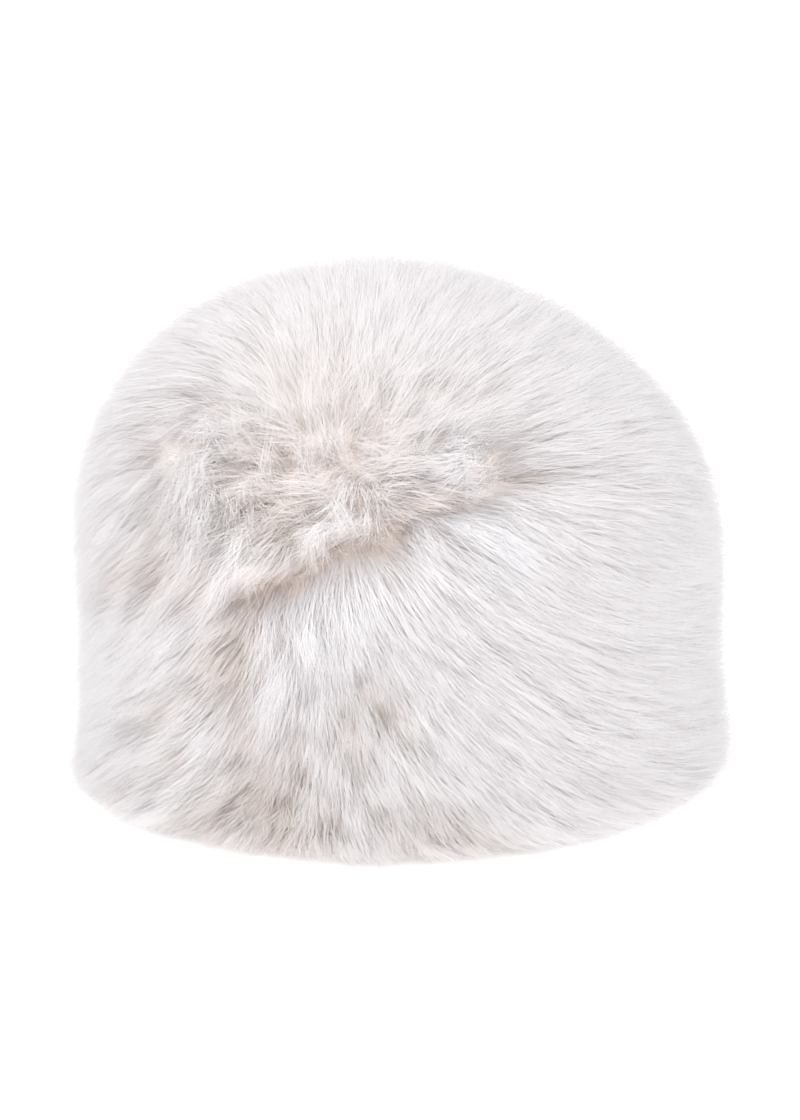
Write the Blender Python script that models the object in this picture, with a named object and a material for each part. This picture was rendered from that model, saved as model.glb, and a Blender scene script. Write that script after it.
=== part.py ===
"""Telpek: a domed fur hat, long cream pile on a cloth backing, open at the rim.

Metres, +Z up. The origin is on the surface that the rim rests on, at the middle of
the head opening. -Y is the band's joining seam, and azimuth is counted from there
towards +X. A place on the hat is an azimuth, a share of the way up from the rim
(0) to the top of the crown (1), and a height through the pile.
"""

import math
import random
from collections import namedtuple

import bmesh
import bpy
from mathutils import Vector

# Head hollow, to the inner face of the cloth
HEAD_WIDTH = 0.170
HEAD_LENGTH = 0.194
BAND_HEIGHT = 0.088
HOLLOW_HEIGHT = 0.158

# Slump of the crown to one side, from this height up
LEAN_START = 0.060
CROWN_LEAN_X = -0.012
CROWN_LEAN_Y = -0.007

# Cloth backing, and the clearance between neighbouring pieces
CLOTH = 0.002
GAP = 0.0003

# Pile: its thickness on the band, on the crown and added at the rim, and its undercoat
BAND_PILE = 0.030
CROWN_PILE = 0.026
RIM_FLARE = 0.005
FLARE_HEIGHT = 0.030
UNDERCOAT = 0.013

# Extra fullness of the pile where the seam runs highest, and the height that it covers
SEAM_PUFF = 0.005
PUFF_HEIGHT = 0.030

# How far a lock's tip lies over along the cloth, the height over which the rim holds the
# lowest locks up, and the crease where crown and band part
TIP_SLIDE = 0.020
RIM_HOLD = 0.036
CREASE = 0.0016

# Lattice of locks: columns round the hat, rows up the band, steps along the crown's square
COLUMNS = 32
BAND_ROWS = 5
CROWN_STEPS = COLUMNS // 4
WALL_ROWS = 5
SEED = 7

# Rings of a lock: its inset from the ring below, as a share of a lattice step, and its
# height as a share of the way from the undercoat to the tip
LockRing = namedtuple("LockRing", "inset height")
LOCK_RINGS = (
    LockRing(0.13, 0.52),
    LockRing(0.12, 0.84),
)
SHORTEST_TIP = 0.90
TIP_WANDER = 0.12

# The seam between band and crown: how far up from the rim it runs
SeamPlace = namedtuple("SeamPlace", "azimuth_deg up")
SEAM = (
    SeamPlace(-140, 0.37),
    SeamPlace(-90, 0.32),
    SeamPlace(-52, 0.33),
    SeamPlace(-22, 0.40),
    SeamPlace(-1, 0.425),
    SeamPlace(8, 0.455),
    SeamPlace(28, 0.525),
    SeamPlace(42, 0.57),
    SeamPlace(60, 0.59),
    SeamPlace(80, 0.56),
    SeamPlace(100, 0.50),
    SeamPlace(150, 0.43),
)

# The way the band's pile lies: its slide to the side (towards +azimuth) and down, as
# shares of TIP_SLIDE. It parts at the band's joining seam.
PileLay = namedtuple("PileLay", "azimuth_deg side down")
LAY = (
    PileLay(-120, -0.10, 0.85),
    PileLay(-60, -0.65, 0.75),
    PileLay(-6, -0.65, 0.75),
    PileLay(10, 0.00, 1.00),
    PileLay(30, 0.55, 0.80),
    PileLay(47, 0.77, 0.64),
    PileLay(65, 0.90, 0.42),
    PileLay(95, 1.00, 0.20),
    PileLay(150, 0.70, 0.60),
    PileLay(195, 0.30, 0.80),
)

# The whorl on the crown: its place, the reach over which the pile stands up round it, and
# the height over which the crown's pile turns from the band's lie to the whorl's
WHORL_AZIMUTH_DEG = 14
WHORL_UP = 0.62
WHORL_REACH = 0.030
WHORL_BLEND = 0.020

# Colours of the pile and of the cloth
FUR_COLOUR = (0.83, 0.78, 0.73)
CLOTH_COLOUR = (0.62, 0.55, 0.47)


def clear_scene():
    for old in list(bpy.data.objects):
        bpy.data.objects.remove(old, do_unlink=True)


def around(table, column, azimuth):
    """A table's value at an azimuth, eased from row to row and closed round the hat."""
    degrees = math.degrees(azimuth)
    for row, following in zip(table, table[1:] + table[:1]):
        span = (following.azimuth_deg - row.azimuth_deg) % 360
        ahead = (degrees - row.azimuth_deg) % 360
        if ahead <= span:
            ease = (1 - math.cos(math.pi * ahead / span)) / 2
            start = getattr(row, column)
            return start + (getattr(following, column) - start) * ease
    raise ValueError("the table doesn't close round the hat")


def quarter_arc():
    """Length of the crown's curve from the top of the upright band to the apex, about."""
    reach = (HEAD_WIDTH + HEAD_LENGTH) / 4
    rise = HOLLOW_HEIGHT - BAND_HEIGHT
    return math.pi / 4 * (reach + rise)


def whole_arc():
    return BAND_HEIGHT + quarter_arc()


def slump(height):
    """Share of the crown's lean that a height has."""
    rise = max(0.0, height - LEAN_START) / (HOLLOW_HEIGHT - LEAN_START)
    return rise**1.5


def dome_turn(up):
    """Angle round the crown's curve: 0 on the upright band, a right angle at the apex."""
    climb = up * whole_arc()
    return max(0.0, climb - BAND_HEIGHT) / quarter_arc() * math.pi / 2


def cloth_normal(azimuth, up):
    turn = dome_turn(up)
    x = math.cos(turn) * math.sin(azimuth) / (HEAD_WIDTH / 2)
    y = -math.cos(turn) * math.cos(azimuth) / (HEAD_LENGTH / 2)
    z = math.sin(turn) / (HOLLOW_HEIGHT - BAND_HEIGHT)
    return Vector((x, y, z)).normalized()


def leaned(point):
    """The point moved sideways with the slump of the crown."""
    lean = slump(point.z)
    return point + Vector((CROWN_LEAN_X, CROWN_LEAN_Y, 0)) * lean


def backing_point(azimuth, up, depth):
    """The point that lies a depth outside the cloth's inner face."""
    turn = dome_turn(up)
    x = HEAD_WIDTH / 2 * math.cos(turn) * math.sin(azimuth)
    y = -HEAD_LENGTH / 2 * math.cos(turn) * math.cos(azimuth)
    dome_rise = (HOLLOW_HEIGHT - BAND_HEIGHT) * math.sin(turn)
    z = min(up * whole_arc(), BAND_HEIGHT) + dome_rise
    return leaned(Vector((x, y, z)) + depth * cloth_normal(azimuth, up))


def bump(distance, reach):
    return math.exp(-((distance / reach) ** 2))


def pile_at(azimuth, up):
    """Thickness of the pile, from the cloth to the lock tips."""
    plain = BAND_PILE + (CROWN_PILE - BAND_PILE) * up**2
    flare = RIM_FLARE * bump(up * whole_arc(), FLARE_HEIGHT)
    seam = seam_up(azimuth)
    lowest = min(place.up for place in SEAM)
    highest = max(place.up for place in SEAM)
    above_lowest = (seam - lowest) / (highest - lowest)
    puff = SEAM_PUFF * above_lowest * bump((up - seam) * whole_arc(), PUFF_HEIGHT)
    return plain + flare + puff


def from_whorl(azimuth, up):
    """The crown's lie at a place: away from the whorl along the cloth, at most 1 long."""
    whorl = backing_point(math.radians(WHORL_AZIMUTH_DEG), WHORL_UP, CLOTH)
    away = backing_point(azimuth, up, CLOTH) - whorl
    strength = math.tanh(away.length / WHORL_REACH)
    normal = cloth_normal(azimuth, up)
    return (away - normal * away.dot(normal)).normalized() * strength


def fur_point(azimuth, up, height):
    """A point in the pile. Height is 0 at its root, 1 on the undercoat and 2 at a tip."""
    over = max(0.0, height - 1)
    above_seam = max(0.0, up - seam_up(azimuth)) * whole_arc()
    whorled = 1 - bump(above_seam, WHORL_BLEND)
    slide = TIP_SLIDE * over * (1 - whorled)
    girth = (HEAD_WIDTH + HEAD_LENGTH) / 4 + BAND_PILE
    room = math.tanh(up * whole_arc() / RIM_HOLD) * (1 - up**2)
    laid_azimuth = azimuth + around(LAY, "side", azimuth) * slide / girth
    laid_up = up - around(LAY, "down", azimuth) * slide / whole_arc() * room

    root = CLOTH + GAP + facet_sag()
    coat = root + UNDERCOAT
    tip = root + pile_at(azimuth, up)
    depth = root + (coat - root) * min(height, 1) + (tip - coat) * over
    laid = backing_point(laid_azimuth, laid_up, depth)
    return laid + from_whorl(azimuth, up) * (TIP_SLIDE * over * whorled)


def facet_sag():
    """How far a flat facet between two columns dips below the round form."""
    return HEAD_LENGTH / 2 * (1 - math.cos(math.pi / COLUMNS))


def ring_sheet(rows):
    """An open upright ring of radius 1 and height 1, in COLUMNS by rows quads."""
    bm = bmesh.new()
    bmesh.ops.create_grid(bm, x_segments=COLUMNS, y_segments=rows, size=1)
    for vert in bm.verts:
        azimuth = column_azimuth((vert.co.x + 1) / 2)
        vert.co = (math.cos(azimuth), math.sin(azimuth), (vert.co.y + 1) / 2)
    bmesh.ops.remove_doubles(bm, verts=bm.verts[:], dist=1e-6)
    return bm


def ring_place(co):
    """Azimuth, and share of the way from the rim to the seam, of a point on the ring."""
    return math.atan2(co.y, co.x), co.z


def square_sheet(steps):
    """A flat square from -1 to 1, whose edge becomes the crown's edge."""
    bm = bmesh.new()
    bmesh.ops.create_grid(bm, x_segments=steps, y_segments=steps, size=1)
    return bm


def square_place(co):
    """Azimuth, and share of the way from the seam to the apex, of a point on the square."""
    x = co.x * math.sqrt(1 - co.y**2 / 2)
    y = co.y * math.sqrt(1 - co.x**2 / 2)
    return math.atan2(y, x), 1 - math.hypot(x, y)


def column_azimuth(turn):
    """Azimuth at a share of a turn, stepped like the edge of the crown's square."""
    side, along = divmod(turn * 4, 1)
    azimuth, _ = square_place(Vector((1, 2 * along - 1, 0)))
    return azimuth + side * math.pi / 2


def stagger(bm):
    """Turns a sheet of quads into diamonds, one on each edge between two quads."""
    inner_edges = [edge for edge in bm.edges if not edge.is_boundary]
    bmesh.ops.poke(bm, faces=bm.faces[:])
    bmesh.ops.dissolve_edges(bm, edges=inner_edges, use_verts=False)


def thicken(bm, inner, outer):
    """Makes the sheet a closed shell, and returns its outer faces and the height layer."""
    layer = bm.verts.layers.float.new("height")
    for vert in bm.verts:
        vert[layer] = inner
    made = bmesh.ops.extrude_face_region(bm, geom=bm.faces[:], use_keep_orig=True)
    for vert in made["geom"]:
        if isinstance(vert, bmesh.types.BMVert):
            vert[layer] = outer
    return [face for face in made["geom"] if isinstance(face, bmesh.types.BMFace)], layer


def grow_locks(bm, faces, layer, step, chance):
    """Raises a tapered lock with a pointed tip on each face."""
    for ring in LOCK_RINGS:
        bmesh.ops.inset_individual(bm, faces=faces, thickness=ring.inset * step)
        for vert in {vert for face in faces for vert in face.verts}:
            vert[layer] = 1 + ring.height
    for vert in bmesh.ops.poke(bm, faces=faces)["verts"]:
        vert[layer] = 1 + chance.uniform(SHORTEST_TIP, 1)
        vert.co.x += chance.uniform(-1, 1) * TIP_WANDER * step
        vert.co.y += chance.uniform(-1, 1) * TIP_WANDER * step


def finish_piece(name, bm, material, collection):
    bmesh.ops.triangulate(bm, faces=bm.faces[:])
    mesh = bpy.data.meshes.new(name)
    bm.to_mesh(mesh)
    bm.free()
    mesh.materials.append(material)
    mesh.shade_smooth()
    mesh.set_sharp_from_angle(angle=math.radians(50))
    piece = bpy.data.objects.new(name, mesh)
    collection.objects.link(piece)


def seam_up(azimuth):
    return around(SEAM, "up", azimuth)


def band_wall(material, collection):
    """The upright cloth band, whose lower edge is the flat rim that the hat stands on."""
    bm = ring_sheet(WALL_ROWS)
    _, layer = thicken(bm, 0, CLOTH)
    for vert in bm.verts:
        azimuth, share = ring_place(vert.co)
        top = seam_up(azimuth) - GAP / 2 / whole_arc()
        vert.co = backing_point(azimuth, share * top, vert[layer])
    finish_piece("band_wall", bm, material, collection)


def crown_wall(material, collection):
    """The domed cloth panel that closes the top."""
    bm = square_sheet(CROWN_STEPS)
    _, layer = thicken(bm, 0, CLOTH)
    for vert in bm.verts:
        azimuth, share = square_place(vert.co)
        foot = seam_up(azimuth) + GAP / 2 / whole_arc()
        vert.co = backing_point(azimuth, foot + share * (1 - foot), vert[layer])
    finish_piece("crown_wall", bm, material, collection)


def band_fur(material, collection):
    """The band's pile: locks on an undercoat, bare along the crease under the crown."""
    bm = ring_sheet(BAND_ROWS)
    stagger(bm)
    outer, layer = thicken(bm, 0, 1)
    top = 1 - 1e-6
    locked = [face for face in outer if sum(v.co.z > top for v in face.verts) < 2]
    grow_locks(bm, locked, layer, 1 / BAND_ROWS, random.Random(SEED))
    for vert in bm.verts:
        azimuth, share = ring_place(vert.co)
        foot = GAP / whole_arc()
        head = seam_up(azimuth) - CREASE / 2 / whole_arc()
        vert.co = fur_point(azimuth, foot + share * (head - foot), vert[layer])
    finish_piece("band_fur", bm, material, collection)


def crown_fur(material, collection):
    """The crown's pile, whose lowest locks hang over the crease."""
    bm = square_sheet(CROWN_STEPS)
    stagger(bm)
    outer, layer = thicken(bm, 0, 1)
    grow_locks(bm, outer, layer, 2 / CROWN_STEPS, random.Random(SEED + 1))
    for vert in bm.verts:
        azimuth, share = square_place(vert.co)
        foot = seam_up(azimuth) + CREASE / 2 / whole_arc()
        vert.co = fur_point(azimuth, foot + share * (1 - foot), vert[layer])
    finish_piece("crown_fur", bm, material, collection)


def plain_material(name, colour, roughness):
    material = bpy.data.materials.new(name)
    material.use_nodes = True
    shader = material.node_tree.nodes["Principled BSDF"]
    shader.inputs["Base Color"].default_value = (*colour, 1)
    shader.inputs["Roughness"].default_value = roughness
    shader.inputs["Metallic"].default_value = 0
    return material


def main():
    clear_scene()
    collection = bpy.data.collections.new("telpek")
    bpy.context.scene.collection.children.link(collection)
    fur = plain_material("cream_pile", FUR_COLOUR, 0.9)
    cloth = plain_material("backing_cloth", CLOTH_COLOUR, 0.95)
    band_wall(cloth, collection)
    crown_wall(cloth, collection)
    band_fur(fur, collection)
    crown_fur(fur, collection)


main()
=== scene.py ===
"""Looks of the telpek: long cream pile on a knitted backing.

Metres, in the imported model's frame: +Z up, -Y at the band's joining seam. A place on
the hat is an azimuth counted from -Y towards +X, a share of the way up from the rim (0)
to the top of the crown (1), and a depth outside the cloth's inner face.
"""

import math
from collections import namedtuple

import bpy
import numpy as np
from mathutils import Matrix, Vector, kdtree, noise

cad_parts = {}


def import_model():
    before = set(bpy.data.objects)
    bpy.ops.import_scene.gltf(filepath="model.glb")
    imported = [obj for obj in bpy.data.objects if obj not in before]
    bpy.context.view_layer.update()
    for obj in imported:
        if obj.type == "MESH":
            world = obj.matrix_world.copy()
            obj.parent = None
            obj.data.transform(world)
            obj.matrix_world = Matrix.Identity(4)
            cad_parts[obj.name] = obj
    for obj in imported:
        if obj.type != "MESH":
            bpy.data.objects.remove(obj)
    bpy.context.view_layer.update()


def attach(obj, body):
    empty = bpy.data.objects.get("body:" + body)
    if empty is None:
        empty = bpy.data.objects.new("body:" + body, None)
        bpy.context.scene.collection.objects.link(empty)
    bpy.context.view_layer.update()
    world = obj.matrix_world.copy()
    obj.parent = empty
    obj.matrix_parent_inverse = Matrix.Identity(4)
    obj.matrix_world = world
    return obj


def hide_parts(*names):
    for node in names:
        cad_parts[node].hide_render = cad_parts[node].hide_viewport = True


# Head hollow, to the inner face of the cloth
HEAD_WIDTH = 0.170
HEAD_LENGTH = 0.194
BAND_HEIGHT = 0.088
HOLLOW_HEIGHT = 0.158
DOME = HOLLOW_HEIGHT - BAND_HEIGHT
QUARTER_ARC = math.pi / 4 * ((HEAD_WIDTH + HEAD_LENGTH) / 4 + DOME)
WHOLE_ARC = BAND_HEIGHT + QUARTER_ARC

# Slump of the crown to one side, from this height up, and how it grows from there
LEAN_START = 0.060
CROWN_LEAN = (-0.012, -0.007)
LEAN_POWER = 1.5

# Cloth, and the pile's thickness on the band, on the crown, at the rim and along the seam
CLOTH = 0.002
BAND_PILE = 0.030
CROWN_PILE = 0.0285
RIM_FLARE = 0.004
FLARE_HEIGHT = 0.030
SEAM_PUFF = 0.004
PUFF_HEIGHT = 0.030

# The seam between band and crown: how far up from the rim it runs, and how open its crease is,
# which also sets how strong the crease's painted shade is
SeamPlace = namedtuple("SeamPlace", "azimuth_deg up crease")
SEAM = (
    SeamPlace(-140, 0.37, 0.1),
    SeamPlace(-90, 0.32, 0.0),
    SeamPlace(-52, 0.33, 0.0),
    SeamPlace(-22, 0.40, 0.0),
    SeamPlace(-1, 0.425, 0.35),
    SeamPlace(8, 0.455, 1.0),
    SeamPlace(28, 0.525, 1.0),
    SeamPlace(42, 0.57, 0.75),
    SeamPlace(60, 0.59, 0.25),
    SeamPlace(80, 0.56, 0.05),
    SeamPlace(100, 0.50, 0.05),
    SeamPlace(150, 0.43, 0.10),
)

# The way the band's pile lies: to the side (towards +azimuth) and down
PileLay = namedtuple("PileLay", "azimuth_deg side down")
LAY = (
    PileLay(-120, -0.10, 0.95),
    PileLay(-60, -0.60, 0.75),
    PileLay(-8, -0.60, 0.80),
    PileLay(8, -0.05, 1.00),
    PileLay(30, 0.50, 0.85),
    PileLay(47, 0.77, 0.64),
    PileLay(65, 0.90, 0.42),
    PileLay(95, 1.00, 0.15),
    PileLay(150, 0.70, 0.60),
    PileLay(195, 0.30, 0.90),
)

# The crown's pile lies away from this place, where it stands up in small tufts
WHORL_AZIMUTH = math.radians(24)
WHORL_UP = 0.61
WHORL_REACH = 0.040

# It falls down the left side of the crown as well: how strongly, how narrowly, how much to
# the side, and how far from the apex that starts
FALL = 1.6
FALL_POWER = 1.5
FALL_ASIDE = 0.3
FALL_START = 0.035

# How far over the band the crown's way of lying carries on where the seam is closed
CARRY_OVER = 0.016

# Gaps in the pile: how much shorter it stands there, as a share, which also sets how dark
# its painted shade is, and how far its tufts are tossed this way and that, from 0 to 1
Gap = namedtuple("Gap", "azimuth_deg up reach dip toss")
GAPS = (
    Gap(20, 0.60, 0.036, 0.05, 1.0),
    Gap(14, 0.52, 0.014, 0.05, 0.6),
    Gap(20, 0.66, 0.026, 0.05, 0.5),
    Gap(4.5, 0.616, 0.008, 0.25, 0.1),
    Gap(4.5, 0.566, 0.006, 0.20, 0.1),
    Gap(11, 0.531, 0.008, 0.30, 0.2),
    Gap(2, 0.528, 0.006, 0.25, 0.1),
    Gap(-5, 0.436, 0.005, 0.30, 0.2),
    Gap(-14.5, 0.451, 0.008, 0.35, 0.1),
    Gap(-27, 0.406, 0.007, 0.35, 0.1),
    Gap(3.5, 0.371, 0.007, 0.40, 0.2),
    Gap(1, 0.298, 0.007, 0.40, 0.2),
    Gap(-4, 0.310, 0.006, 0.35, 0.2),
    Gap(-16, 0.198, 0.007, 0.35, 0.1),
    Gap(-11.5, 0.125, 0.006, 0.30, 0.1),
    Gap(4, 0.193, 0.006, 0.35, 0.2),
    Gap(14, 0.185, 0.005, 0.30, 0.2),
    Gap(22.5, 0.223, 0.005, 0.30, 0.1),
    Gap(26.5, 0.280, 0.005, 0.35, 0.1),
    Gap(30.5, 0.255, 0.004, 0.35, 0.1),
    Gap(7, 0.105, 0.013, 0.28, 0.7),
    Gap(-3.5, 0.045, 0.009, 0.30, 0.4),
    Gap(9.5, 0.045, 0.010, 0.30, 0.4),
    Gap(19, 0.090, 0.006, 0.25, 0.2),
    Gap(29.5, 0.060, 0.006, 0.30, 0.2),
    Gap(36, 0.068, 0.006, 0.30, 0.2),
    Gap(43, 0.045, 0.007, 0.30, 0.2),
    Gap(-27.5, 0.043, 0.007, 0.25, 0.2),
)
GAP_SPREAD = 0.3

# Where the pile lies in a way of its own, to the side and down, and how white it is there
Lobe = namedtuple("Lobe", "azimuth_deg up reach side down white")
LOBES = (
    Lobe(-5, 0.52, 0.016, 0.60, 0.80, 0.3),
    Lobe(-4, 0.61, 0.011, 0.75, 0.60, 0.2),
    Lobe(6, 0.49, 0.010, 0.50, 0.75, 0.5),
    Lobe(18, 0.50, 0.008, -0.90, 0.50, 1.0),
    Lobe(33, 0.535, 0.007, -0.90, 0.35, 1.0),
    Lobe(44, 0.590, 0.009, -1.00, 0.40, 1.0),
    Lobe(52, 0.513, 0.014, 0.80, 0.65, 0.8),
    Lobe(17, 0.42, 0.016, 0.20, 1.00, 0.6),
)

# A lobe is felt by strands rooted this share of a full slide before it
LOBE_LEAD = 0.6

# Where the pile is roughest, how far that reaches at the rim and how much less at the top,
# where it ends below the top, and how rough the calm and the busiest parts are
BUSY_AZIMUTH = math.radians(20)
BUSY_REACH = math.radians(46)
BUSY_AT_RIM = 1.15
BUSY_NARROWING = 0.6
BUSY_UP = 0.64
BUSY_FADE = 0.03
CALM = 0.18
BUSY = 0.62

# How many locks, tufts and strands grow on the cloth, and how wide they are there
SEED = 11
LOCKS = 1300
TUFTS = 9000
STRANDS = 296000
CLOTH_AREA = 0.15
TUFT_REACH = math.sqrt(CLOTH_AREA / TUFTS) * 0.80
LOCK_SPACING = math.sqrt(CLOTH_AREA / LOCKS)
MOST_TRIANGLES_A_PIECE = 190000

# Places are spread evenly by powers of the plastic number, with more tried than wanted
# because the dome drops some of them
PLASTIC_NUMBER = 1.32471795724
TRIED = 1.9

# The lowest roots, as a share of the way up, and the least girth that tufts near the apex
# are spread over, as a share of the band's
LOWEST_ROOT = 0.004
LEAST_GIRTH = 0.12

# Smooth noise is shifted by this much for each seed
NOISE_STEPS = (7.3, 3.1, 5.7)

# Length of a strand as a share of the pile's thickness, its spread from lock to lock and
# tuft to tuft, the share of short tufts, what those, a lock's edge and a gap lose, and what
# a white lobe gains
SHORTEST = 0.45
LONGEST = 1.05
LOCK_LENGTH_SPREAD = 0.03
TUFT_LENGTH_SPREAD = 0.04
SHORT_TUFTS = 0.10
SHORT_TUFT_LOSS = 0.14
LOCK_EDGE_LOSS = 0.09
GAP_LENGTH_LOSS = 0.45
LOBE_LENGTH_GAIN = 0.06

# How far a strand's tip lies over along the cloth, more in the calm parts
SLIDE = 0.020
CALM_SLIDE = 1.3
BUSY_SLIDE_LOSS = 0.4
SHORTEST_SLIDE = 0.85
SLIDE_SPREAD = 0.30

# Turns out of the pile's lay: of locks and tufts, in waves of a size and strength, more on
# the crown and less in white lobes, of single strands, and how far their tips go astray
TURN_SPREAD = 0.11
TURN_WAVES = ((0.045, 0.45), (0.020, 0.30))
CROWN_TURN = 0.5
LOBE_TURN_LOSS = 0.7
LOOSE = 0.12
STRAY = 0.0014

# Tossed tufts: how far they and their strands are tossed, and what they lose of lay and slide
TOSS = 0.60
STRAND_TOSS = 0.15
TOSS_LAY_LOSS = 0.7
TOSS_SLIDE_LOSS = 0.35

# How far strands are drawn to the middle of their tuft, of their lock and of a white lobe,
# and how that differs in tossed and in calm parts
DRAWN = 0.55
DRAWN_SPREAD = 0.20
TOSS_DRAWN = 0.25
MOST_DRAWN = 0.95
CALM_DRAWN = 0.35
LOCK_DRAWN = 0.32
TOSS_LOCK_LOSS = 0.17
LOBE_DRAWN = 0.25

# Shape of a strand: where its spine's points are, its width and taper, how late it bends
# over and is drawn aside, how early it rises, how it rolls, and how far its shading follows
# the pile's surface
SPINE = np.array([0.22, 0.62, 1.0])
STRAND_WIDTH = 0.00025
TAPER = 0.55
TAPER_POWER = 1.5
BEND = 1.35
TOSS_BEND = 0.9
CREASE_BEND = 0.9
CREASE_BEND_REACH = 0.012
DRAW_BEND = 1.2
RISE = 1.6
ROLL_SPREAD = 0.45
SURFACE_FACING = 0.75

# The crease: how far the crown's pile hangs over it and over a closed seam, how its lip is
# calmed, how short the pile stands in it, and where and how dark the painted shade along it
# and in the gaps is
LOCK_OVERHANG = 0.0018
LOCK_OVERHANG_SPREAD = 0.0024
TUFT_OVERHANG_SPREAD = 0.0012
OVERHANG_RANGE = (-0.002, 0.008)
BACK_OVERHANG = 0.022
CALM_LIP = 0.012
CROWN_PINCH = 0.30
BAND_PINCH = 0.80
PINCH_REACH = 0.0042
CREASE_PAINTED_SHADE_DROP = 0.0035
CREASE_PAINTED_SHADE_WIDTH = 0.0038
CREASE_PAINTED_SHADE = 0.95
GAP_PAINTED_SHADE = 1.1

# Strands without room to lie down the cloth turn aside by this share, on crown and band
CROWN_ASIDE = 0.35
BAND_ASIDE = 0.1

# The hem: how unevenly tips end above the floor, how the lowest strands are tucked in, its
# painted shade and how wide that is, and how softly the floor holds tips up
HEM_SPREAD = 0.004
HEM_TUCK = 0.55
HEM_REACH = 0.007
HEM_PAINTED_SHADE_WIDTH = 0.009
HEM_PAINTED_SHADE = 0.6
FLOOR_SOFTNESS = 0.003

# Warmth of a strand's tone, from 0 to 1, what changes it (gaps, tossed tufts, the crease's
# pinch and the painted shade warm it as painted shade), and how light white lobes are
TONE = 0.18
TONE_WAVES = ((0.035, 0.45), (0.012, 0.35))
TUFT_TONE_SPREAD = 0.10
TUFT_TONE = 0.40
GAP_PAINTED_SHADE_TONE = 0.7
LOBE_TONE_LOSS = 0.4
TOSS_PAINTED_SHADE_TONE = 0.35
PINCH_PAINTED_SHADE_TONE = 0.5
PAINTED_SHADE_TONE = 0.5
TONE_SPREAD = 0.12
LOBE_LIGHT = 0.25
SHADING_RANGE = (0.02, 0.98)

# Colour of the fibre from root to tip, for cool tones and for warm ones; the dark low end also
# shows painted shade in the crease, gaps and hem
COOL_FIBRE = (
    (0.03, (0.89, 0.815, 0.77)),
    (0.20, (0.945, 0.906, 0.886)),
    (0.45, (0.965, 0.952, 0.960)),
    (0.90, (0.982, 0.976, 0.985)),
)
WARM_FIBRE = (
    (0.03, (0.81, 0.69, 0.62)),
    (0.20, (0.915, 0.838, 0.785)),
    (0.50, (0.960, 0.923, 0.903)),
    (1.0, (0.980, 0.960, 0.950)),
)
FIBRE_ROUGHNESS = 0.9
SEEN_THROUGH = 0.5

# The undercoat fills this share of the pile, less by the crease
UNDERCOAT_SHARE = 0.40
UNDERCOAT_SINK = 0.34
UNDERCOAT_SINK_REACH = 0.009

# Grids of the undercoat and the cloth, up to just below the apex
SHELL_COLUMNS = 160
BAND_SHELL_ROWS = 24
CROWN_SHELL_ROWS = 30
APEX = 0.9995

# Camera, as the photograph is framed: its angle, scale, height in pixels and middle
MIDDLE = Vector((0, 0, 0.09))
VIEW_AZIMUTH = 30
VIEW_ELEVATION = 15
VIEW_DISTANCE = 1.6
METRES_PER_PIXEL = 0.000364
FRAME_HEIGHT = 1120
SHIFT_RIGHT = -2
SHIFT_UP = -37
SENSOR_MILLIMETRES = 36

# A bright studio: two soft lights, an even surround and a wide white floor that glows a
# little, so that it stays white beside the hat
Light = namedtuple("Light", "name azimuth elevation distance size power colour")
LIGHTS = (
    Light("key", 0, 64, 2.2, 1.8, 19, (1, 0.995, 0.985)),
    Light("fill", 38, 24, 2.4, 1.6, 15, (1, 1, 1)),
)
SURROUND = (0.985, 0.985, 1.0)
SURROUND_STRENGTH = 0.97
FLOOR_HALF = 30
FLOOR_GREY = 0.97
FLOOR_GLOW = 0.2
DIFFUSE_BOUNCES = 5


def around(table, column):
    """A table's column as a function of azimuth, eased from row to row, closed round."""
    samples = np.arange(-180.0, 180.0)
    values = np.empty_like(samples)
    for row, following in zip(table, table[1:] + table[:1]):
        span = (following.azimuth_deg - row.azimuth_deg) % 360
        ahead = (samples - row.azimuth_deg) % 360
        here = ahead <= span
        ease = (1 - np.cos(np.pi * ahead[here] / span)) / 2
        start = getattr(row, column)
        values[here] = start + (getattr(following, column) - start) * ease

    def read(azimuth):
        return np.interp(np.degrees(azimuth), samples, values, period=360)

    return read


seam_up = around(SEAM, "up")
crease_at = around(SEAM, "crease")
lay_side = around(LAY, "side")
lay_down = around(LAY, "down")


def unit(vectors):
    return vectors / np.maximum(np.linalg.norm(vectors, axis=-1, keepdims=True), 1e-9)


def dot(a, b):
    return (a * b).sum(-1, keepdims=True)


def bump(distance, reach):
    """1 in the middle, fading smoothly to nothing at about twice the reach."""
    return np.exp(-((distance / reach) ** 2))


def turn_at(up):
    """Angle round the dome: 0 on the upright band and a right angle at the apex."""
    climb = np.asarray(up) * WHOLE_ARC
    return np.clip((climb - BAND_HEIGHT) / QUARTER_ARC, 0, 1) * np.pi / 2


def outward(azimuth, up):
    """Unit normals of the cloth."""
    turn = turn_at(up)
    x = np.cos(turn) * np.sin(azimuth) / (HEAD_WIDTH / 2)
    y = -np.cos(turn) * np.cos(azimuth) / (HEAD_LENGTH / 2)
    z = np.sin(turn) / DOME
    return unit(np.stack([x, y, z], -1))


def slump(points):
    """How far the crown's lean moves points of this height."""
    rise = np.clip((points[..., 2] - LEAN_START) / (HOLLOW_HEIGHT - LEAN_START), 0, None)
    return rise[..., None] ** LEAN_POWER * np.array([*CROWN_LEAN, 0])


def place(azimuth, up, depth):
    """Points a depth outside the cloth's inner face."""
    turn = turn_at(up)
    climb = np.minimum(np.asarray(up) * WHOLE_ARC, BAND_HEIGHT)
    x = HEAD_WIDTH / 2 * np.cos(turn) * np.sin(azimuth)
    y = -HEAD_LENGTH / 2 * np.cos(turn) * np.cos(azimuth)
    z = climb + DOME * np.sin(turn)
    points = np.stack([x, y, z], -1) + outward(azimuth, up) * np.asarray(depth)[..., None]
    return points + slump(points)


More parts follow.
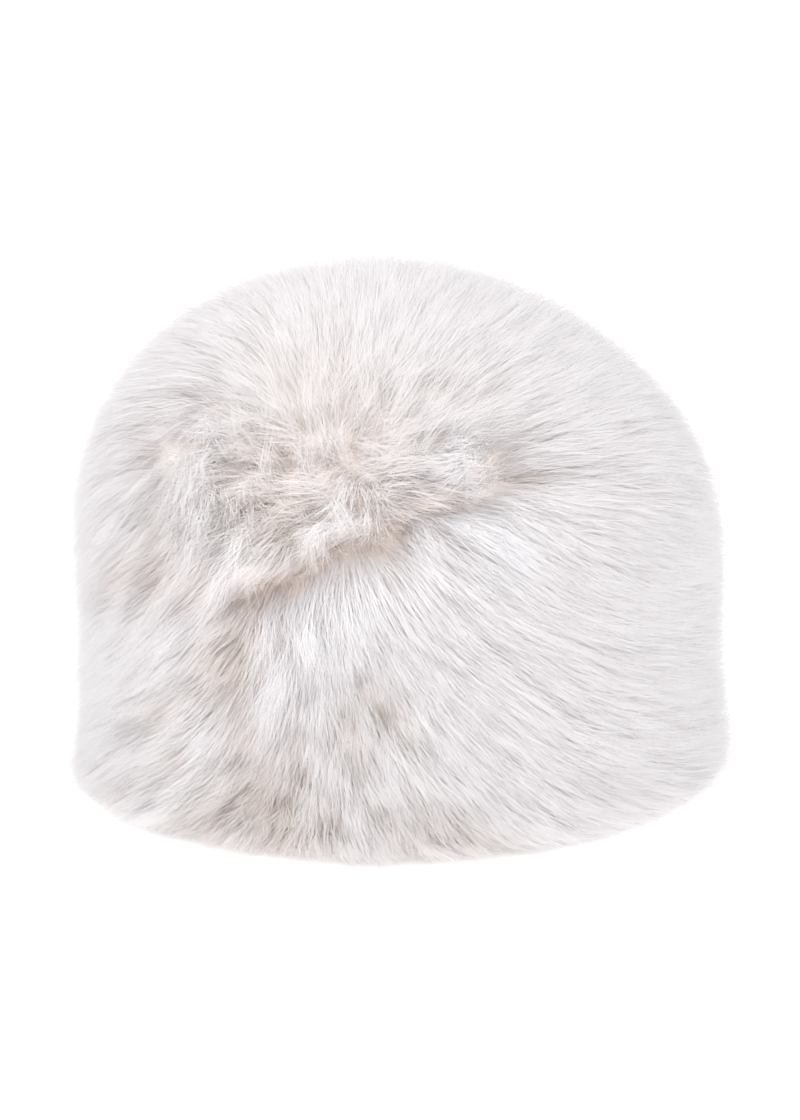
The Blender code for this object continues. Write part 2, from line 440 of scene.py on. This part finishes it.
def settle(points, depth):
    """The points moved straight out or in to a depth, and the outward directions there."""
    upright = points - slump(points)
    half = np.array([HEAD_WIDTH / 2, HEAD_LENGTH / 2, DOME])
    shares = upright / half
    shares[..., 2] = np.maximum(upright[..., 2] - BAND_HEIGHT, 0) / DOME
    size = np.linalg.norm(shares, axis=-1, keepdims=True)
    slope = shares / half / size
    steep = np.linalg.norm(slope, axis=-1, keepdims=True)
    out = slope / steep
    return points + out * (depth[..., None] - (size - 1) / steep), out


def cloth_under(points):
    """Azimuth and share of the way up of the cloth beneath the points."""
    low, _ = settle(points, np.zeros(points.shape[:-1]))
    low = low - slump(low)
    across = low[..., 0] / (HEAD_WIDTH / 2)
    ahead = -low[..., 1] / (HEAD_LENGTH / 2)
    rise = np.maximum(low[..., 2] - BAND_HEIGHT, 0) / DOME
    turn = np.arctan2(rise, np.hypot(across, ahead))
    climb = np.minimum(low[..., 2], BAND_HEIGHT) + QUARTER_ARC * turn / (np.pi / 2)
    return np.arctan2(across, ahead), climb / WHOLE_ARC


def pile_at(azimuth, up):
    """Thickness of the pile, as the solid locks have it."""
    plain = BAND_PILE + (CROWN_PILE - BAND_PILE) * up**2
    flare = RIM_FLARE * bump(up * WHOLE_ARC, FLARE_HEIGHT)
    seam = seam_up(azimuth)
    lowest = min(row.up for row in SEAM)
    highest = max(row.up for row in SEAM)
    above_lowest = (seam - lowest) / (highest - lowest)
    puff = SEAM_PUFF * above_lowest * bump((up - seam) * WHOLE_ARC, PUFF_HEIGHT)
    return plain + flare + puff


def along_cloth(azimuth, up):
    """Unit directions to the side, towards +azimuth, up along the cloth, and out of it."""
    normal = outward(azimuth, up)
    flat = np.stack([np.cos(azimuth), np.sin(azimuth), 0 * azimuth], -1)
    sideways = unit(flat - normal * dot(flat, normal))
    return sideways, np.cross(normal, sideways), normal


def base_lay(azimuth, up, crown):
    """Directions in which the pile lies over, 0 to 1 long.

    Where the seam is closed the crown's way of lying carries on a little over the band.
    """
    sideways, upward, normal = along_cloth(azimuth, up)
    band = sideways * lay_side(azimuth)[..., None] - upward * lay_down(azimuth)[..., None]
    whorl = place(np.array(WHORL_AZIMUTH), np.array(WHORL_UP), np.array(CLOTH))
    away = place(azimuth, up, np.full_like(azimuth, CLOTH)) - whorl
    distance = np.linalg.norm(away, axis=-1, keepdims=True)
    away = unit(away - normal * dot(away, normal))
    fall = FALL * np.clip(np.sin(WHORL_AZIMUTH - azimuth), 0, 1) ** FALL_POWER
    fall *= 1 - bump((1 - up) * WHOLE_ARC, FALL_START)
    away = unit(away - (upward + sideways * FALL_ASIDE) * fall[..., None])
    away *= np.tanh(distance / WHORL_REACH)
    closed = 1 - crease_at(azimuth)
    closed *= bump((up - seam_up(azimuth)) * WHOLE_ARC, CARRY_OVER)
    band += (away - band) * closed[..., None]
    return np.where(crown[..., None], away, band)


def feature_centre(feature):
    """Azimuth and place on the cloth of the middle of a gap or a lobe."""
    azimuth = np.array(math.radians(feature.azimuth_deg))
    return azimuth, place(azimuth, np.array(feature.up), np.array(CLOTH))


def near(feature, points, crown):
    """The way from a feature's middle to each point, and the share of it felt there.

    It is felt on its own side of the seam only.
    """
    azimuth, centre = feature_centre(feature)
    same_side = crown == (feature.up > seam_up(azimuth))
    away = points - centre
    return away, same_side * bump(np.linalg.norm(away, axis=-1), feature.reach)


def parted(root, normal, lay, slide, crown):
    """The lay spread away from the gaps, and the strands' dip and toss by the gaps."""
    dip = np.zeros(len(root))
    toss = np.zeros(len(root))
    spread = np.zeros_like(root)
    for gap in GAPS:
        away, here = near(gap, root, crown)
        spread += unit(away - normal * dot(away, normal)) * here[:, None] * GAP_SPREAD
        toss = np.maximum(toss, gap.toss * here)
        for along in (0.0, 0.5, 1.0):
            _, over = near(gap, root + lay * (slide * along)[:, None], crown)
            dip = np.maximum(dip, gap.dip * over)
    return lay + spread, dip, toss


def lobed(root, lay, crown):
    """The lay with the lobes' own, how white they make each strand and the way into them."""
    white = np.zeros(len(root))
    gather = np.zeros_like(root)
    lay = lay.copy()
    for lobe in LOBES:
        azimuth, _ = feature_centre(lobe)
        sideways, upward, _ = along_cloth(azimuth, np.array(lobe.up))
        own = sideways * lobe.side - upward * lobe.down
        away, here = near(lobe, root + own * SLIDE * LOBE_LEAD, crown)
        lay += (own - lay) * here[:, None]
        gather -= away * (here * lobe.white)[:, None]
        white = np.maximum(white, here * lobe.white)
    return lay, white, gather


def painted_shade_at(spine, crown):
    """Painted shade, from 0 to 1, along the crease, in the gaps and at the hem: how far the fibre
    is darkened there to its warm root colour.
    """
    azimuth, up = cloth_under(spine)
    below = (seam_up(azimuth) - up) * WHOLE_ARC
    # Painted shade: a dark line just below the seam where the crease is open, the hem near the
    # floor, and the gaps
    painted_shade = CREASE_PAINTED_SHADE * crease_at(azimuth) * bump(below - CREASE_PAINTED_SHADE_DROP, CREASE_PAINTED_SHADE_WIDTH)
    painted_shade = np.maximum(painted_shade, HEM_PAINTED_SHADE * busy_at(azimuth, up) * bump(spine[..., 2], HEM_PAINTED_SHADE_WIDTH))
    foot = place(azimuth, up, np.full_like(up, CLOTH))
    for gap in GAPS:
        painted_shade = np.maximum(painted_shade, gap.dip * GAP_PAINTED_SHADE * near(gap, foot, crown[:, None])[1])
    return np.minimum(painted_shade, 1)


def held_up(lay, azimuth, up, room, aside):
    """The lay with its reach down the cloth no more than the room there, partly turned aside."""
    sideways, upward, _ = along_cloth(azimuth, up)
    over = np.maximum(-dot(lay, upward) - room[:, None], 0)
    return lay + (upward + sideways * np.sign(dot(lay, sideways)) * aside[:, None]) * over


def busy_at(azimuth, up):
    """How rough the pile is: most at the front left, calm at the right and on the top."""
    apart = (azimuth - BUSY_AZIMUTH + np.pi) % (2 * np.pi) - np.pi
    below_top = 1 / (1 + np.exp((up - BUSY_UP) / BUSY_FADE))
    reach = BUSY_REACH * (BUSY_AT_RIM - BUSY_NARROWING * up)
    return CALM + (BUSY - CALM) * bump(apart, reach) * below_top


def spread_places(count, chance):
    """Places scattered evenly over the whole hat: azimuth and share of the way up."""
    steps = np.arange(int(count * TRIED)) + 0.5
    azimuth = (steps / PLASTIC_NUMBER % 1 * 2 - 1) * np.pi
    up = steps / PLASTIC_NUMBER**2 % 1
    kept = chance.random(len(steps)) < np.cos(turn_at(up))
    return azimuth[kept][:count], up[kept][:count]


def waves(points, size, seed):
    """Smooth noise from -1 to 1 at the points, with features of this size."""
    offset = Vector([seed * step for step in NOISE_STEPS])
    return np.array([noise.noise(Vector(point) / size + offset) for point in points])


def wavy(points, table, first_seed):
    """Waves of each size and strength in a table, added up."""
    rows = enumerate(table, first_seed)
    return sum(waves(points, size, seed) * strength for seed, (size, strength) in rows)


def nearest(points, targets):
    """For each point, the index of the nearest target."""
    tree = kdtree.KDTree(len(targets))
    for index, target in enumerate(targets):
        tree.insert(target, index)
    tree.balance()
    return np.array([tree.find(point)[1] for point in points])


Clumps = namedtuple("Clumps", "azimuth up root crown long turn toss tone overhang hem lock_root")


def plan_clumps(chance):
    """Small tufts, each part of a larger lock on its own side of the seam."""
    lock_azimuth, lock_up = spread_places(LOCKS, chance)
    lock_root = place(lock_azimuth, lock_up, np.full(len(lock_up), CLOTH))
    lock_crown = lock_up > seam_up(lock_azimuth)
    azimuth, up = spread_places(TUFTS, chance)
    root = place(azimuth, up, np.full(len(up), CLOTH))
    crown = up > seam_up(azimuth)
    lock = np.empty(len(up), int)
    for side in (False, True):
        members = np.flatnonzero(crown == side)
        locks = np.flatnonzero(lock_crown == side)
        lock[members] = locks[nearest(root[members], lock_root[locks])]
    long = chance.normal(1, LOCK_LENGTH_SPREAD, LOCKS)[lock]
    long += chance.normal(0, TUFT_LENGTH_SPREAD, TUFTS)
    long -= SHORT_TUFT_LOSS * (chance.random(TUFTS) < SHORT_TUFTS)
    turn = chance.normal(0, TURN_SPREAD, LOCKS)[lock] + chance.normal(0, TURN_SPREAD, TUFTS)
    turn += wavy(root, TURN_WAVES, 1) * (1 + CROWN_TURN * crown)
    toss = chance.normal(0, TOSS, (TUFTS, 3))
    overhang = chance.normal(LOCK_OVERHANG, LOCK_OVERHANG_SPREAD, LOCKS)[lock]
    overhang += chance.normal(0, TUFT_OVERHANG_SPREAD, TUFTS)
    overhang = np.clip(overhang, *OVERHANG_RANGE)
    hem = chance.random(TUFTS) * HEM_SPREAD
    tone = wavy(root, TONE_WAVES, 3) + chance.normal(0, TUFT_TONE_SPREAD, TUFTS)
    lock_root = lock_root[lock]
    return Clumps(azimuth, up, root, crown, long, turn, toss, tone, overhang, hem, lock_root)


# tone and light carry painted shade as well as the fibre's own colour
Strands = namedtuple("Strands", "spine side facing tone light crown")


def root_places(clumps, tuft, chance):
    """Azimuth and share of the way up of each strand's root, round the middle of its tuft."""
    angle = chance.random(STRANDS) * 2 * np.pi
    far = np.sqrt(chance.random(STRANDS)) * TUFT_REACH
    shrunk = np.maximum(np.cos(turn_at(clumps.up[tuft])), LEAST_GIRTH)
    girth = (HEAD_WIDTH + HEAD_LENGTH) / 4 * shrunk
    azimuth = clumps.azimuth[tuft] + far * np.cos(angle) / girth
    up = clumps.up[tuft] + far * np.sin(angle) / WHOLE_ARC
    up = np.where(up < LOWEST_ROOT, 2 * LOWEST_ROOT - up, up)
    return azimuth, np.where(up > 1, 2 - up, up)


def spines(root, over, bend, pull, stray, height):
    """Points along the strands, and the directions out of the pile there."""
    spine = np.empty((len(root), len(SPINE), 3))
    facing = np.empty_like(spine)
    for step, along in enumerate(SPINE):
        path = root + over * (along**bend)[:, None] + pull * along**DRAW_BEND
        path += stray * along**2
        depth = CLOTH + height * (1 - (1 - along) ** RISE)
        spine[:, step], facing[:, step] = settle(path, depth)
    low = spine[..., 2] < FLOOR_SOFTNESS
    spine[low, 2] = FLOOR_SOFTNESS * np.exp(spine[low, 2] / FLOOR_SOFTNESS - 1)
    return spine, facing


def turned_flat(spine, facing, normal, chance):
    """Directions across the ribbons, and the directions that they are shaded by."""
    roll = chance.normal(0, ROLL_SPREAD, len(spine))[:, None]
    axis = unit(spine[:, -1] - spine[:, 0])
    across = unit(np.cross(axis, normal))
    side = across * np.cos(roll) + np.cross(across, axis) * np.sin(roll)
    flat = np.cross(side, axis)[:, None]
    return side, unit(facing * SURFACE_FACING + flat * (1 - SURFACE_FACING))


def grow(clumps, chance):
    """Strands: their spines and the way these face, warmth and lightness with painted shade in
    both, and side of the seam.
    """
    tuft = np.arange(STRANDS) % TUFTS
    azimuth, up = root_places(clumps, tuft, chance)
    crown = up > seam_up(azimuth)
    normal = outward(azimuth, up)
    root = place(azimuth, up, np.full(STRANDS, CLOTH))

    busy = busy_at(azimuth, up)
    share = SHORTEST + (LONGEST - SHORTEST) * chance.random(STRANDS) ** 0.5
    to_tuft = clumps.root[tuft] - root
    to_lock = clumps.lock_root[tuft] - clumps.root[tuft]
    edge = np.minimum(np.linalg.norm(to_lock, axis=-1) / LOCK_SPACING, 1)
    long = 1 + busy * (clumps.long[tuft] - 1 - LOCK_EDGE_LOSS * edge**2)
    slide = SLIDE * (CALM_SLIDE - BUSY_SLIDE_LOSS * busy) * long * share
    slide *= SHORTEST_SLIDE + SLIDE_SPREAD * chance.random(STRANDS)

    lay, white, gather = lobed(root, base_lay(azimuth, up, crown), crown)
    turn = clumps.turn[tuft] * busy * (1 - LOBE_TURN_LOSS * white)
    turn += chance.normal(0, LOOSE, STRANDS) * (2 - share)
    lay = lay * np.cos(turn)[:, None] + np.cross(normal, lay) * np.sin(turn)[:, None]
    lay, dip, ruffle = parted(root, normal, lay, slide, crown)
    above_seam = (up - seam_up(azimuth)) * WHOLE_ARC
    ruffle *= 1 - bump(above_seam, CALM_LIP)
    tossed = clumps.toss[tuft] + chance.normal(0, STRAND_TOSS, (STRANDS, 3))
    tossed -= normal * dot(tossed, normal)
    lay = lay * (1 - TOSS_LAY_LOSS * ruffle)[:, None] + tossed * ruffle[:, None]
    long *= (1 - GAP_LENGTH_LOSS * dip) * (1 + LOBE_LENGTH_GAIN * white)
    slide *= (1 - dip) * (1 - TOSS_SLIDE_LOSS * ruffle)

    crease = crease_at(azimuth)
    pinch = crease * np.where(crown, CROWN_PINCH, BAND_PINCH) * bump(above_seam, PINCH_REACH)
    bend = BEND + TOSS_BEND * ruffle
    bend += CREASE_BEND * crease * bump(above_seam, CREASE_BEND_REACH)
    tuck = HEM_TUCK * lay_down(azimuth) * bump(up * WHOLE_ARC, HEM_REACH)
    height = pile_at(azimuth, up) * long * share * (1 - pinch) * (1 - tuck)
    overhang = clumps.overhang[tuft] + BACK_OVERHANG * (1 - crease)
    room = np.where(crown, above_seam + overhang, up * WHOLE_ARC - clumps.hem[tuft])
    lay = held_up(lay, azimuth, up, room / slide, np.where(crown, CROWN_ASIDE, BAND_ASIDE))

    same = (crown == clumps.crown[tuft])[:, None]
    drawn = chance.normal(DRAWN, DRAWN_SPREAD, STRANDS) + TOSS_DRAWN * ruffle
    drawn = np.clip(drawn, 0, MOST_DRAWN) * (CALM_DRAWN + (1 - CALM_DRAWN) * busy / BUSY)
    gathered = (LOCK_DRAWN - TOSS_LOCK_LOSS * ruffle) * busy
    pull = same * (to_tuft * drawn[:, None] + to_lock * gathered[:, None])
    pull = (pull + gather * LOBE_DRAWN) * share[:, None]
    stray = chance.normal(0, STRAY, (STRANDS, 3))
    spine, facing = spines(root, lay * slide[:, None], bend, pull, stray, height)
    side, facing = turned_flat(spine, facing, normal, chance)

    # Warmer tone in the gaps, tossed tufts, the crease's pinch and under the painted shade is
    # painted shade; the tuft and spread terms are the fibre's own random tone
    tone = TONE + TUFT_TONE * clumps.tone[tuft] * busy + GAP_PAINTED_SHADE_TONE * dip
    tone += TOSS_PAINTED_SHADE_TONE * np.minimum(ruffle, 1) + PINCH_PAINTED_SHADE_TONE * pinch - LOBE_TONE_LOSS * white
    tone += chance.normal(0, TONE_SPREAD, STRANDS)
    painted_shade = painted_shade_at(spine, crown)
    tone = np.clip(tone[:, None] + PAINTED_SHADE_TONE * painted_shade, *SHADING_RANGE)
    # Lightness from root to tip, darkened as painted shade in the gaps, along the crease and at the
    # hem
    light = SPINE * (share * (1 - dip))[:, None] * (1 - painted_shade) + LOBE_LIGHT * white[:, None]
    light = np.clip(light, *SHADING_RANGE)
    return Strands(spine, side, facing, tone, light, crown)


def ribbon_mesh(name, strands, members):
    """One mesh of tapered ribbons: a quad for each step but the last, which is a pointed tip."""
    count, rings = len(members), len(SPINE)
    spine = strands.spine[members]
    side = strands.side[members]
    points = np.empty((count, 2 * rings - 1, 3))
    normals = np.empty_like(points)
    for step in range(rings - 1):
        half = side * (STRAND_WIDTH / 2 * (1 - TAPER * SPINE[step] ** TAPER_POWER))
        points[:, 2 * step] = spine[:, step] - half
        points[:, 2 * step + 1] = spine[:, step] + half
        normals[:, 2 * step : 2 * step + 2] = strands.facing[members, step, None]
    points[:, -1] = spine[:, -1]
    normals[:, -1] = strands.facing[members, -1]

    corners, sizes = [], []
    for quad in range(0, 2 * rings - 4, 2):
        corners += [quad, quad + 1, quad + 3, quad + 2]
        sizes.append(4)
    corners += [2 * rings - 4, 2 * rings - 3, 2 * rings - 2]
    sizes.append(3)
    corners = np.array(corners)
    loops = (np.arange(count)[:, None] * (2 * rings - 1) + corners).ravel()
    starts = np.concatenate([[0], np.cumsum(np.tile(sizes, count))[:-1]])

    mesh = bpy.data.meshes.new(name)
    mesh.vertices.add(count * (2 * rings - 1))
    mesh.vertices.foreach_set("co", points.astype(np.float32).ravel())
    mesh.loops.add(len(loops))
    mesh.loops.foreach_set("vertex_index", loops.astype(np.int32))
    mesh.polygons.add(len(starts))
    mesh.polygons.foreach_set("loop_start", starts.astype(np.int32))
    mesh.update(calc_edges=True)
    # The ramps' places: U is warmth and V is the place from root to tip, both carrying painted
    # shade
    uv = np.empty((count, len(corners), 2), np.float32)
    ring = np.minimum(corners // 2, rings - 1)
    uv[..., 0] = strands.tone[members][:, ring]
    uv[..., 1] = strands.light[members][:, ring]
    layer = mesh.uv_layers.new(name="OFBake")
    layer.data.foreach_set("uv", uv.ravel())
    mesh.shade_smooth()
    mesh.normals_split_custom_set_from_vertices(normals.reshape(-1, 3))
    return mesh


def add_piece(name, mesh, material, slot, *nodes):
    """A piece of the hat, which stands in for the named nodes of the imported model."""
    mesh.materials.append(material)
    piece = bpy.data.objects.new(name, mesh)
    bpy.context.scene.collection.objects.link(piece)
    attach(piece, "root")
    if nodes:
        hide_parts(*nodes)
    return piece


def add_strands(strands, material):
    """Pieces of strands for the band and the crown, each one stretch round the hat."""
    triangles = 2 * len(SPINE) - 3
    for part, members in (("band_hair", ~strands.crown), ("crown_hair", strands.crown)):
        chosen = np.flatnonzero(members)
        pieces = math.ceil(len(chosen) * triangles / MOST_TRIANGLES_A_PIECE)
        heading = np.arctan2(strands.spine[chosen, 0, 0], -strands.spine[chosen, 0, 1])
        chosen = chosen[np.argsort(heading, kind="stable")]
        for number, group in enumerate(np.array_split(chosen, pieces), 1):
            title = f"{part}_{number}"
            add_piece(title, ribbon_mesh(title, strands, group), material, "pile")
            print(title, len(group), "strands")


def set_ramp(node, *stops):
    ramp = node.color_ramp
    while len(ramp.elements) < len(stops):
        ramp.elements.new(0.5)
    for element, (position, colour) in zip(ramp.elements, stops):
        element.position = position
        element.color = (*colour, 1)


def new_material(name):
    material = bpy.data.materials.new(name)
    material.use_nodes = True
    tree = material.node_tree
    return material, tree.nodes, tree.links, tree.nodes["Principled BSDF"]


def pile_material():
    """Fine fibre: warm at the root, near white at the tip, toned by strand, with painted shade
    carried in the same ramps.
    """
    material, nodes, links, shader = new_material("pile_fibre")
    where = nodes.new("ShaderNodeUVMap")
    where.uv_map = "OFBake"
    split = nodes.new("ShaderNodeSeparateXYZ")
    links.new(where.outputs["UV"], split.inputs[0])
    cool = nodes.new("ShaderNodeValToRGB")
    warm = nodes.new("ShaderNodeValToRGB")
    set_ramp(cool, *COOL_FIBRE)
    set_ramp(warm, *WARM_FIBRE)
    mix = nodes.new("ShaderNodeMix")
    mix.data_type = "RGBA"
    links.new(split.outputs["Y"], cool.inputs[0])
    links.new(split.outputs["Y"], warm.inputs[0])
    links.new(split.outputs["X"], mix.inputs["Factor"])
    links.new(cool.outputs[0], mix.inputs["A"])
    links.new(warm.outputs[0], mix.inputs["B"])
    links.new(mix.outputs["Result"], shader.inputs["Base Color"])
    shader.inputs["Roughness"].default_value = FIBRE_ROUGHNESS
    shader.inputs["Specular IOR Level"].default_value = 0
    through = nodes.new("ShaderNodeBsdfTranslucent")
    links.new(mix.outputs["Result"], through.inputs["Color"])
    both = nodes.new("ShaderNodeMixShader")
    both.inputs["Fac"].default_value = SEEN_THROUGH
    links.new(shader.outputs[0], both.inputs[1])
    links.new(through.outputs[0], both.inputs[2])
    links.new(both.outputs[0], nodes["Material Output"].inputs["Surface"])
    return material


def mottled_material(name, size, dark, light, bump_size, bump_depth, roughness):
    """A soft material with mottled colour and a fine matted relief, both of a size in metres."""
    material, nodes, links, shader = new_material(name)
    where = nodes.new("ShaderNodeTexCoord")
    mottle = nodes.new("ShaderNodeTexNoise")
    mottle.inputs["Scale"].default_value = 1 / size
    mottle.inputs["Detail"].default_value = 4
    ramp = nodes.new("ShaderNodeValToRGB")
    set_ramp(ramp, (0.3, dark), (0.7, light))
    links.new(where.outputs["Object"], mottle.inputs["Vector"])
    links.new(mottle.outputs["Fac"], ramp.inputs[0])
    links.new(ramp.outputs[0], shader.inputs["Base Color"])
    relief = nodes.new("ShaderNodeTexNoise")
    relief.inputs["Scale"].default_value = 1 / bump_size
    relief.inputs["Detail"].default_value = 3
    rough = nodes.new("ShaderNodeBump")
    rough.inputs["Distance"].default_value = bump_depth
    links.new(where.outputs["Object"], relief.inputs["Vector"])
    links.new(relief.outputs["Fac"], rough.inputs["Height"])
    links.new(rough.outputs["Normal"], shader.inputs["Normal"])
    shader.inputs["Roughness"].default_value = roughness
    return material


def grid_mesh(name, points):
    """A mesh through a closed grid of points: rows up, columns round."""
    rows, columns = points.shape[:2]
    index = np.arange(rows * columns).reshape(rows, columns)
    right = np.roll(index, -1, axis=1)
    faces = np.stack([index[:-1], right[:-1], right[1:], index[1:]], -1).reshape(-1, 4)
    mesh = bpy.data.meshes.new(name)
    mesh.from_pydata(points.reshape(-1, 3).tolist(), [], faces.tolist())
    mesh.shade_smooth()
    return mesh


def shell_places(low, high, rows):
    """Azimuths and shares of the way up of a grid between two heights."""
    azimuth = np.linspace(-np.pi, np.pi, SHELL_COLUMNS, endpoint=False)
    share = np.linspace(0, 1, rows)[:, None]
    up = low(azimuth) + share * (high(azimuth) - low(azimuth))
    return np.broadcast_to(azimuth, up.shape), up


def level(up):
    """A share of the way up that is the same all round."""

    def read(azimuth):
        return 0 * azimuth + up

    return read


def undercoat_mesh(name, low, high, rows):
    """The dense inner part of the pile, sunk at the crease and the gaps, closed to the cloth."""
    azimuth, up = shell_places(low, high, rows)
    above_seam = (up - seam_up(azimuth)) * WHOLE_ARC
    sunk = crease_at(azimuth) * bump(above_seam, UNDERCOAT_SINK_REACH)
    share = UNDERCOAT_SHARE - UNDERCOAT_SINK * sunk
    roots = place(azimuth, up, np.full_like(up, CLOTH))
    for gap in GAPS:
        share *= 1 - gap.dip * near(gap, roots, above_seam > 0)[1]
    outer = place(azimuth, up, CLOTH + pile_at(azimuth, up) * share)
    return grid_mesh(name, np.concatenate([roots[:1], outer, roots[-1:]]))


def cloth_mesh(name, low, high, rows):
    """The backing: its inner face, an edge rolled round at each end, and its outer face."""
    azimuth, up = shell_places(low, high, rows)
    inner = place(azimuth, up, np.zeros_like(up))
    outer = place(azimuth, up, np.full_like(up, CLOTH))
    return grid_mesh(name, np.concatenate([outer[:1], inner, outer[::-1]]))


def add_shells():
    """The undercoats and the cloth, in place of the solid furs and walls."""
    undercoat = mottled_material(
        "undercoat",
        size=0.010,
        dark=(0.87, 0.78, 0.73),
        light=(0.93, 0.87, 0.83),
        bump_size=0.0012,
        bump_depth=0.0010,
        roughness=0.95,
    )
    cloth = mottled_material(
        "backing_cloth",
        size=0.004,
        dark=(0.66, 0.60, 0.53),
        light=(0.76, 0.70, 0.63),
        bump_size=0.0009,
        bump_depth=0.0004,
        roughness=0.9,
    )
    rim = level(0.0)
    pile_rim = level(LOWEST_ROOT)
    apex = level(APEX)
    band = undercoat_mesh("band_undercoat", pile_rim, seam_up, BAND_SHELL_ROWS)
    crown = undercoat_mesh("crown_undercoat", seam_up, apex, CROWN_SHELL_ROWS)
    add_piece("band_undercoat", band, undercoat, "pile", "band_fur")
    add_piece("crown_undercoat", crown, undercoat, "pile", "crown_fur")
    band = cloth_mesh("band_backing", rim, seam_up, BAND_SHELL_ROWS)
    crown = cloth_mesh("crown_backing", seam_up, apex, CROWN_SHELL_ROWS)
    add_piece("band_backing", band, cloth, "backing", "band_wall")
    add_piece("crown_backing", crown, cloth, "backing", "crown_wall")


def add_pile():
    chance = np.random.default_rng(SEED)
    add_strands(grow(plan_clumps(chance), chance), pile_material())


def add_stage():
    mesh = bpy.data.meshes.new("floor")
    corners = [(x * FLOOR_HALF, y * FLOOR_HALF, 0) for x, y in ((-1, -1), (1, -1), (1, 1), (-1, 1))]
    mesh.from_pydata(corners, [], [(0, 1, 2, 3)])
    floor = bpy.data.objects.new("floor", mesh)
    bpy.context.scene.collection.objects.link(floor)
    material, _, _, shader = new_material("floor")
    shader.inputs["Base Color"].default_value = (FLOOR_GREY, FLOOR_GREY, FLOOR_GREY, 1)
    shader.inputs["Roughness"].default_value = 0.9
    shader.inputs["Specular IOR Level"].default_value = 0.1
    shader.inputs["Emission Color"].default_value = (1, 1, 1, 1)
    shader.inputs["Emission Strength"].default_value = FLOOR_GLOW
    material.cycles.emission_sampling = "NONE"
    mesh.materials.append(material)


def aim(thing, azimuth, elevation, distance):
    """Sets a thing at an azimuth and elevation in degrees round the hat's middle, facing it."""
    across, rise = math.radians(azimuth), math.radians(elevation)
    toward = Vector((
        math.sin(across) * math.cos(rise),
        -math.cos(across) * math.cos(rise),
        math.sin(rise),
    ))
    thing.location = MIDDLE + toward * distance
    thing.rotation_euler = toward.to_track_quat("Z", "Y").to_euler()


def add_light(light):
    data = bpy.data.lights.new(light.name, "AREA")
    data.shape = "DISK"
    data.size = light.size
    data.energy = light.power
    data.color = light.colour
    lamp = bpy.data.objects.new(light.name, data)
    bpy.context.scene.collection.objects.link(lamp)
    aim(lamp, light.azimuth, light.elevation, light.distance)


def add_camera():
    data = bpy.data.cameras.new("camera")
    data.sensor_fit = "VERTICAL"
    data.sensor_height = SENSOR_MILLIMETRES
    data.lens = SENSOR_MILLIMETRES * VIEW_DISTANCE / (FRAME_HEIGHT * METRES_PER_PIXEL)
    camera = bpy.data.objects.new("camera", data)
    bpy.context.scene.collection.objects.link(camera)
    aim(camera, VIEW_AZIMUTH, VIEW_ELEVATION, VIEW_DISTANCE)
    data.shift_x = SHIFT_RIGHT / FRAME_HEIGHT
    data.shift_y = SHIFT_UP / FRAME_HEIGHT
    bpy.context.scene.camera = camera


def add_world():
    world = bpy.data.worlds.new("studio")
    bpy.context.scene.world = world
    world.use_nodes = True
    background = world.node_tree.nodes["Background"]
    background.inputs["Color"].default_value = (*SURROUND, 1)
    background.inputs["Strength"].default_value = SURROUND_STRENGTH


def main():
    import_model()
    add_shells()
    add_pile()
    add_stage()
    add_world()
    for light in LIGHTS:
        add_light(light)
    add_camera()
    bpy.context.scene.view_settings.view_transform = "Standard"
    bpy.context.scene.cycles.diffuse_bounces = DIFFUSE_BOUNCES


main()
